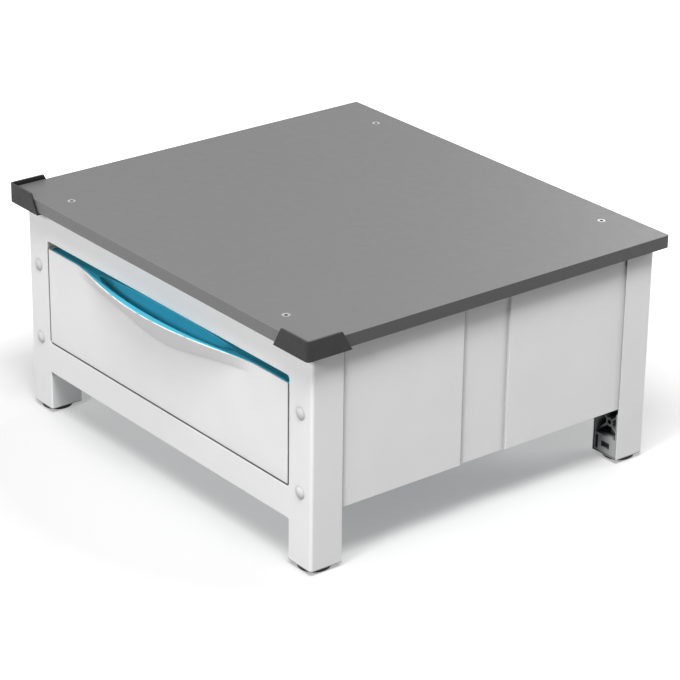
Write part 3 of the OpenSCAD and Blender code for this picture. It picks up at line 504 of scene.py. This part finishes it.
def drawer_front():
    """The pressed front: a flat face that flares into the lip, rounded edges and folded returns."""
    inner_w = FRONT_W / 2 - PRESS_R
    inner_z0 = FRONT_Z0 + PRESS_R
    columns = spaced(-inner_w, inner_w, FRONT_COLUMNS)
    climb = [-LIP_CREASE, -LIP_CREASE / 3, LIP_CREASE / 3] + spaced(LIP_CREASE, 1, FLARE_ROWS)
    quarter = spaced(0, math.pi / 2, ARC_STEPS)

    def heights(x):
        """Heights up the face, gathered where the flare begins."""
        flare = [RIM_Z - (1 - t) * lip_fall(x) for t in climb]
        return spaced(inner_z0, flare[0], FACE_ROWS)[:-1] + flare

    levels = [heights(x) for x in columns]
    net = Net()
    net.grid([[(x, lip_y(x, z), z) for x, z in zip(columns, row)] for row in zip(*levels)])
    stations = [((-inner_w, z), (-1, 0)) for z in reversed(levels[0])]
    stations += [((-inner_w, inner_z0), (-math.cos(a), -math.sin(a))) for a in quarter[1:-1]]
    stations += [((x, inner_z0), (0, -1)) for x in columns]
    stations += [((inner_w, inner_z0), (math.sin(a), -math.cos(a))) for a in quarter[1:-1]]
    stations += [((inner_w, z), (1, 0)) for z in levels[-1]]
    rings = []
    for a in quarter:
        out, back = PRESS_R * math.sin(a), PRESS_R * (1 - math.cos(a))
        rings.append([(x + out * nx, lip_y(x, z) + back, z + out * nz) for (x, z), (nx, nz) in stations])
    rings.append([(x + PRESS_R * nx, TRAY_FRONT, z + PRESS_R * nz) for (x, z), (nx, nz) in stations])
    net.grid(rings)
    tab = spaced(inner_z0, RIM_Z - TAB_DROP, 4)
    for side in (-1, 1):
        net.grid([[(side * x, TRAY_FRONT, z) for z in tab] for x in (FRONT_W / 2, FRONT_W / 2 - TAB_W)])
    piece = make_piece("pressed_drawer_front", net.points, net.faces, "white_steel", "drawer",
                       ["drawer_front"])
    sheet = piece.modifiers.new("sheet", "SOLIDIFY")
    sheet.thickness = FRONT_T * MM
    sheet.offset = -1
    rim = piece.modifiers.new("rim", "BEVEL")
    rim.width = RIM_BEVEL * MM
    rim.segments = RIM_SEGMENTS
    rim.limit_method = "ANGLE"
    rim.angle_limit = math.radians(RIM_ANGLE)


def outline_point(a, inset, z):
    """A point on the moulding's outline, moved inwards, which follows the lip's inner face at the front."""
    reach = FRONT_W / 2 - FRONT_T - FIT_GAP
    x = reach * math.cos(a) / math.cos(math.pi / MOULD_COUNT)
    y = TRAY_FRONT - inset if a < math.pi else lip_y(x, z) + FRONT_T + FIT_GAP + inset
    return (x * (1 - inset / reach), y, z)


def pocket_point(a, share, grow, z=None):
    """A point on the finger pocket at an angle and a share of its outline."""
    side = POCKET_BACK + grow if a < math.pi else -(POCKET_FRONT + grow)
    reach = side * abs(math.sin(a)) ** POCKET_FULLNESS
    y = FACE_Y + POCKET_SETBACK + POCKET_LEAN * (1 - share * share) + reach * share
    if z is None:
        z = RIM_Z - grow - POCKET_DEPTH * math.sqrt(1 - share * share)
    return ((POCKET_HALF_W + grow) * share * math.cos(a), y, z)


def drawer_moulding():
    """The teal moulding: a stepped rim, a ledge and the scooped finger pocket."""
    angles = [(i + 0.5) * 2 * math.pi / MOULD_COUNT for i in range(MOULD_COUNT)]
    low = RIM_Z - RIM_STEP
    ledge_inset = RIM_STEP_W + 0.7
    edge = [(0, RIM_Z - MOULD_T), (0, RIM_Z - ROUND_R), (ROUND_MID, RIM_Z - ROUND_MID), (ROUND_R, RIM_Z)]
    step = [
        (RIM_STEP_W, RIM_Z), (RIM_STEP_W + 0.25, RIM_Z - 0.12), (RIM_STEP_W + 0.5, low + 0.05),
        (ledge_inset, low)
    ]
    rings = [[outline_point(a, inset, z) for a in angles] for inset, z in edge + step]
    for grow, drop in ((1.3, 0), (0.75, 0.12), (0.3, 0.5), (0.05, 1.1)):
        rings.append([pocket_point(a, 1, grow, low - drop) for a in angles])
    shares = [0.996, 0.988, 0.97, 0.945, 0.91, 0.86, 0.79, 0.7, 0.59, 0.46, 0.32, 0.17, 0.06]
    rings += [[pocket_point(a, share, 0) for a in angles] for share in shares]
    net = Net()
    net.grid(rings, closed=True)
    net.fan(rings[-1], pocket_point(0, 0, 0))
    under = [rings[0], [outline_point(a, ledge_inset, RIM_Z - MOULD_T) for a in angles]]
    shares = (1, 0.97, 0.91, 0.8, 0.62, 0.4, 0.15)
    under += [[pocket_point(a, share, MOULD_T) for a in angles] for share in shares]
    net.grid(under, closed=True)
    net.fan(under[-1], pocket_point(0, 0, MOULD_T))
    make_piece("teal_grip_moulding", net.points, net.faces, "teal", "drawer", ["drawer_moulding"])


def tray_ring(grow, z):
    """The tray's outline, grown at its sides and rear but never at its front."""
    front = TRAY_FRONT - min(grow, 0)
    half_w, rear = TRAY_W / 2 + grow, TRAY_REAR + grow
    radius = TRAY_CORNER_R + grow
    centres = ((half_w, rear, 0), (-half_w, rear, 1), (-half_w, front, 2), (half_w, front, 3))
    ring = []
    for x, y, quarter in centres:
        cx = x - math.copysign(radius, x)
        cy = y - radius if quarter < 2 else y + radius
        for a in spaced(quarter * math.pi / 2, (quarter + 1) * math.pi / 2, CORNER_STEPS):
            ring.append((cx + radius * math.cos(a), cy + radius * math.sin(a), z))
    return ring


def drawer_tray():
    """The moulded tray, with rounded corners, a filleted floor and a turned-out rim."""
    floor = TRAY_Z0 + TRAY_WALL
    under = RIM_Z - TRAY_WALL
    profile = [
        (-8, TRAY_Z0), (-3, TRAY_Z0), (-1, TRAY_Z0 + 0.8), (-0.2, TRAY_Z0 + 2.4), (0, TRAY_Z0 + 5),
        (0, under), (TRAY_RIM_W - ROUND_R, under), (TRAY_RIM_W - ROUND_MID, under + ROUND_MID),
        (TRAY_RIM_W, under + ROUND_R), (TRAY_RIM_W, RIM_Z - ROUND_R),
        (TRAY_RIM_W - ROUND_MID, RIM_Z - ROUND_MID), (TRAY_RIM_W - ROUND_R, RIM_Z),
        (ROUND_R - TRAY_WALL, RIM_Z), (ROUND_MID - TRAY_WALL, RIM_Z - ROUND_MID),
        (-TRAY_WALL, RIM_Z - ROUND_R),
        (-TRAY_WALL, floor + 7), (-TRAY_WALL - 0.5, floor + 4.2), (-TRAY_WALL - 2, floor + 1.8),
        (-TRAY_WALL - 4.2, floor + 0.5), (-TRAY_WALL - 7, floor)
    ]
    rings = [tray_ring(grow, z) for grow, z in profile]
    middle = (TRAY_FRONT + TRAY_REAR) / 2
    net = Net()
    net.grid(rings, closed=True)
    net.fan(rings[0], (0, middle, TRAY_Z0))
    net.fan(rings[-1], (0, middle, floor))
    nodes = ["tray_floor", "tray_side_left", "tray_side_right", "tray_front_wall", "tray_rear_wall"]
    make_piece("teal_drawer_tray", net.points, net.faces, "teal", "drawer", nodes)


def turned(profile, centre, count):
    """Rings of a turned form from (radius, height) pairs."""
    turns = [2 * math.pi * i / count for i in range(count)]
    cx, cy = centre
    return [[(cx + r * math.cos(a), cy + r * math.sin(a), z) for a in turns] for r, z in profile]


def foot_pad(corner, centre):
    """A rubber pad with a rounded edge, a groove round its side and a recess for the stud's disc."""
    body = "foot_pad_" + corner
    seat = 2.9
    profile = [
        (0.5, 0), (17.6, 0), (18.6, 0.25), (19.3, 0.9), (19.55, 1.7), (19.3, 2.1), (19.3, 2.5),
        (19.65, 2.9), (19.65, 4.4), (19.5, 5.0), (19.1, 5.5), (18.4, 5.7), (14.5, 5.7), (14.1, 5.5),
        (13.7, 5.2), (10.3, 5.2), (9.9, 5.5), (9.5, 5.7), (8.6, 5.7), (8.35, 5.45), (8.3, seat),
        (0.5, seat)
    ]
    net = Net()
    rings = turned(profile, centre, PAD_COUNT)
    net.grid(rings, closed=True)
    net.fan(rings[0], (*centre, 0))
    net.fan(rings[-1], (*centre, seat))
    make_piece("rubber_pad_" + corner, net.points, net.faces, "pad", body, [body])


def foot_stud(corner, centre):
    """A stud with a rolled thread above its disc, and a hexagon socket in its end."""
    body = "foot_stud_" + corner
    cx, cy = centre
    turns = [2 * math.pi * i / STUD_COUNT for i in range(STUD_COUNT)]
    disc = [
        (0.5, STUD_Z0), (7.6, STUD_Z0), (8.0, 3.3), (8.0, 5.0), (7.6, 5.4), (5.3, 5.4), (4.95, 5.8)
    ]
    end = [(STUD_R - 0.3, STUD_TOP - 0.7), (STUD_R - 0.9, STUD_TOP), (3.0, STUD_TOP)]
    rings = turned(disc, centre, STUD_COUNT)
    rows = int(THREAD_RUN / THREAD_PITCH * ROWS_PER_TURN)
    for row in range(rows + 1):
        z = THREAD_Z0 + THREAD_RUN * row / rows
        fade = min(1, row / ROWS_PER_TURN, (rows - row) / ROWS_PER_TURN)
        ring = []
        for i, a in enumerate(turns):
            phase = (z / THREAD_PITCH - i / STUD_COUNT) % 1
            depth = THREAD_DEPTH * (1 - abs(2 * phase - 1)) * fade
            r = STUD_R - depth
            ring.append((cx + r * math.cos(a), cy + r * math.sin(a), z))
        rings.append(ring)
    rings += turned(end, centre, STUD_COUNT)
    socket = []
    for a in turns:
        r = SOCKET_R * math.cos(math.pi / 6) / math.cos((a % (math.pi / 3)) - math.pi / 6)
        socket.append((cx + r * math.cos(a), cy + r * math.sin(a)))
    rings += [[(x, y, z) for x, y in socket] for z in (STUD_TOP - 0.3, STUD_TOP - SOCKET_D)]
    net = Net()
    net.grid(rings, closed=True)
    net.fan(rings[0], (*centre, STUD_Z0))
    net.fan(rings[-1], (*centre, STUD_TOP - SOCKET_D - 1))
    make_piece("threaded_stud_" + corner, net.points, net.faces, "steel", body, [body])


def dress_feet():
    """Pads and studs at the four corners."""
    for row, y in (("front", FOOT_Y[0]), ("rear", FOOT_Y[1])):
        for side, sign in (("left", -1), ("right", 1)):
            corner = row + "_" + side
            foot_pad(corner, (sign * FOOT_X, y))
            foot_stud(corner, (sign * FOOT_X, y))


# Solids that stay in sight, by the width of their rounded edges in millimetres
SOFT_EDGES = (
    (0.7, ("top_board", "corner_guard_left", "corner_guard_right")),
    (0.45, ("rear_frame",)),
    (0.4, ("insert_front_left", "insert_front_right", "insert_rear_left", "insert_rear_right")),
    (0.3, ("front_frame", "side_sheet_front_left", "side_sheet_front_right", "side_sheet_rear_left",
           "side_sheet_rear_right", "runner_fixed_left", "runner_fixed_right", "runner_moving_left",
           "runner_moving_right")),
    (0.2, ("board_screws",)),
)


def soften_nodes():
    """Rounds the edges of the solids that stay in sight."""
    for width, nodes in SOFT_EDGES:
        for node in nodes:
            soften(frame["nodes"][node], width)


finish_nodes()
soften_nodes()
drawer_front()
drawer_moulding()
drawer_tray()
dress_feet()


# Studio

def add_camera():
    """The photograph's camera, from its angles and place."""
    azimuth = math.radians(CAMERA_AZIMUTH)
    elevation = math.radians(CAMERA_ELEVATION)
    roll = math.radians(CAMERA_ROLL)
    back = (
        math.sin(azimuth) * math.cos(elevation),
        -math.cos(azimuth) * math.cos(elevation),
        math.sin(elevation),
    )
    right = (math.cos(azimuth), math.sin(azimuth), 0.0)
    up = (
        back[1] * right[2] - back[2] * right[1],
        back[2] * right[0] - back[0] * right[2],
        back[0] * right[1] - back[1] * right[0],
    )
    across = [math.cos(roll) * r + math.sin(roll) * u for r, u in zip(right, up)]
    above = [math.cos(roll) * u - math.sin(roll) * r for r, u in zip(right, up)]
    data = bpy.data.cameras.new("camera")
    data.sensor_width = SENSOR_MM
    data.lens = CAMERA_FOCAL_PX / IMAGE_PX * SENSOR_MM
    data.clip_end = CLIP_END
    camera = bpy.data.objects.new("camera", data)
    bpy.context.scene.collection.objects.link(camera)
    turn = Matrix((across, above, back)).transposed().to_4x4()
    camera.matrix_world = Matrix.Translation(CAMERA_PLACE) @ turn
    bpy.context.scene.camera = camera


def add_area_light(name, place, size, watts, glare):
    """A rectangular lamp aimed at the object; without glare it leaves no reflection of itself."""
    data = bpy.data.lights.new(name, "AREA")
    data.shape = "RECTANGLE"
    data.size, data.size_y = size
    data.energy = watts
    light = bpy.data.objects.new(name, data)
    light.location = place
    aim = light.location - Vector(LAMP_TARGET)
    light.rotation_euler = aim.to_track_quat("Z", "Y").to_euler()
    light.visible_glossy = glare
    bpy.context.scene.collection.objects.link(light)


def seen_rays(nodes, links):
    """One for what the camera sees straight, in a reflection or through glass."""
    paths = nodes.new("ShaderNodeLightPath")
    total = paths.outputs["Is Camera Ray"]
    for kind in ("Is Glossy Ray", "Is Transmission Ray"):
        either = nodes.new("ShaderNodeMath")
        either.operation = "MAXIMUM"
        links.new(total, either.inputs[0])
        links.new(paths.outputs[kind], either.inputs[1])
        total = either.outputs[0]
    return total


def add_world():
    """A dim surround that shows as white."""
    world = bpy.data.worlds.new("studio")
    world.use_nodes = True
    nodes, links = world.node_tree.nodes, world.node_tree.links
    light = nodes["Background"]
    light.inputs["Color"].default_value = grey(WORLD_LEVEL)
    seen = nodes.new("ShaderNodeBackground")
    seen.inputs["Color"].default_value = WHITE
    seen.inputs["Strength"].default_value = 1.0
    mix = nodes.new("ShaderNodeMixShader")
    links.new(seen_rays(nodes, links), mix.inputs["Fac"])
    links.new(light.outputs[0], mix.inputs[1])
    links.new(seen.outputs[0], mix.inputs[2])
    links.new(mix.outputs[0], nodes["World Output"].inputs["Surface"])
    bpy.context.scene.world = world


def add_floor():
    """A pale floor that keeps the object's shadow; for the camera it glows with painted light, weakest near
    the object and rising to white away from it.
    """
    mesh = bpy.data.meshes.new("floor")
    signs = ((-1, -1), (1, -1), (1, 1), (-1, 1))
    mesh.from_pydata([(x * FLOOR_HALF, y * FLOOR_HALF, 0) for x, y in signs], [], [(0, 1, 2, 3)])
    floor = bpy.data.objects.new("floor", mesh)
    bpy.context.scene.collection.objects.link(floor)
    material = bpy.data.materials.new("floor_white")
    material.use_nodes = True
    nodes, links = material.node_tree.nodes, material.node_tree.links
    shader = nodes["Principled BSDF"]
    shader.inputs["Roughness"].default_value = 0.9
    shader.inputs["Specular IOR Level"].default_value = 0.0
    seen = seen_rays(nodes, links)
    shade = nodes.new("ShaderNodeMix")
    shade.data_type = "RGBA"
    shade.inputs[6].default_value = grey(FLOOR_CAST)
    shade.inputs[7].default_value = grey(FLOOR_SEEN)
    links.new(seen, shade.inputs[0])
    links.new(shade.outputs[2], shader.inputs["Base Color"])
    # Painted light: a glow that is weakest near the object and rises to white away from it
    coords = nodes.new("ShaderNodeTexCoord")
    reach = nodes.new("ShaderNodeVectorMath")
    reach.operation = "LENGTH"
    links.new(coords.outputs["Object"], reach.inputs[0])
    fade = nodes.new("ShaderNodeMapRange")
    for socket, value in zip(("From Min", "From Max", "To Min", "To Max"), (*FLOOR_FADE, FLOOR_GLOW, 1.0)):
        fade.inputs[socket].default_value = value
    links.new(reach.outputs["Value"], fade.inputs["Value"])
    strength = nodes.new("ShaderNodeMath")
    strength.operation = "MULTIPLY"
    links.new(seen, strength.inputs[0])
    links.new(fade.outputs["Result"], strength.inputs[1])
    painted_glow = nodes.new("ShaderNodeEmission")
    painted_glow.inputs["Color"].default_value = WHITE
    links.new(strength.outputs[0], painted_glow.inputs["Strength"])
    both = nodes.new("ShaderNodeAddShader")
    links.new(shader.outputs[0], both.inputs[0])
    links.new(painted_glow.outputs[0], both.inputs[1])
    links.new(both.outputs[0], nodes["Material Output"].inputs["Surface"])
    mesh.materials.append(material)


add_camera()
add_world()
add_floor()
for lamp in LIGHTS:
    add_area_light(*lamp)
bpy.context.scene.view_settings.view_transform = "Standard"
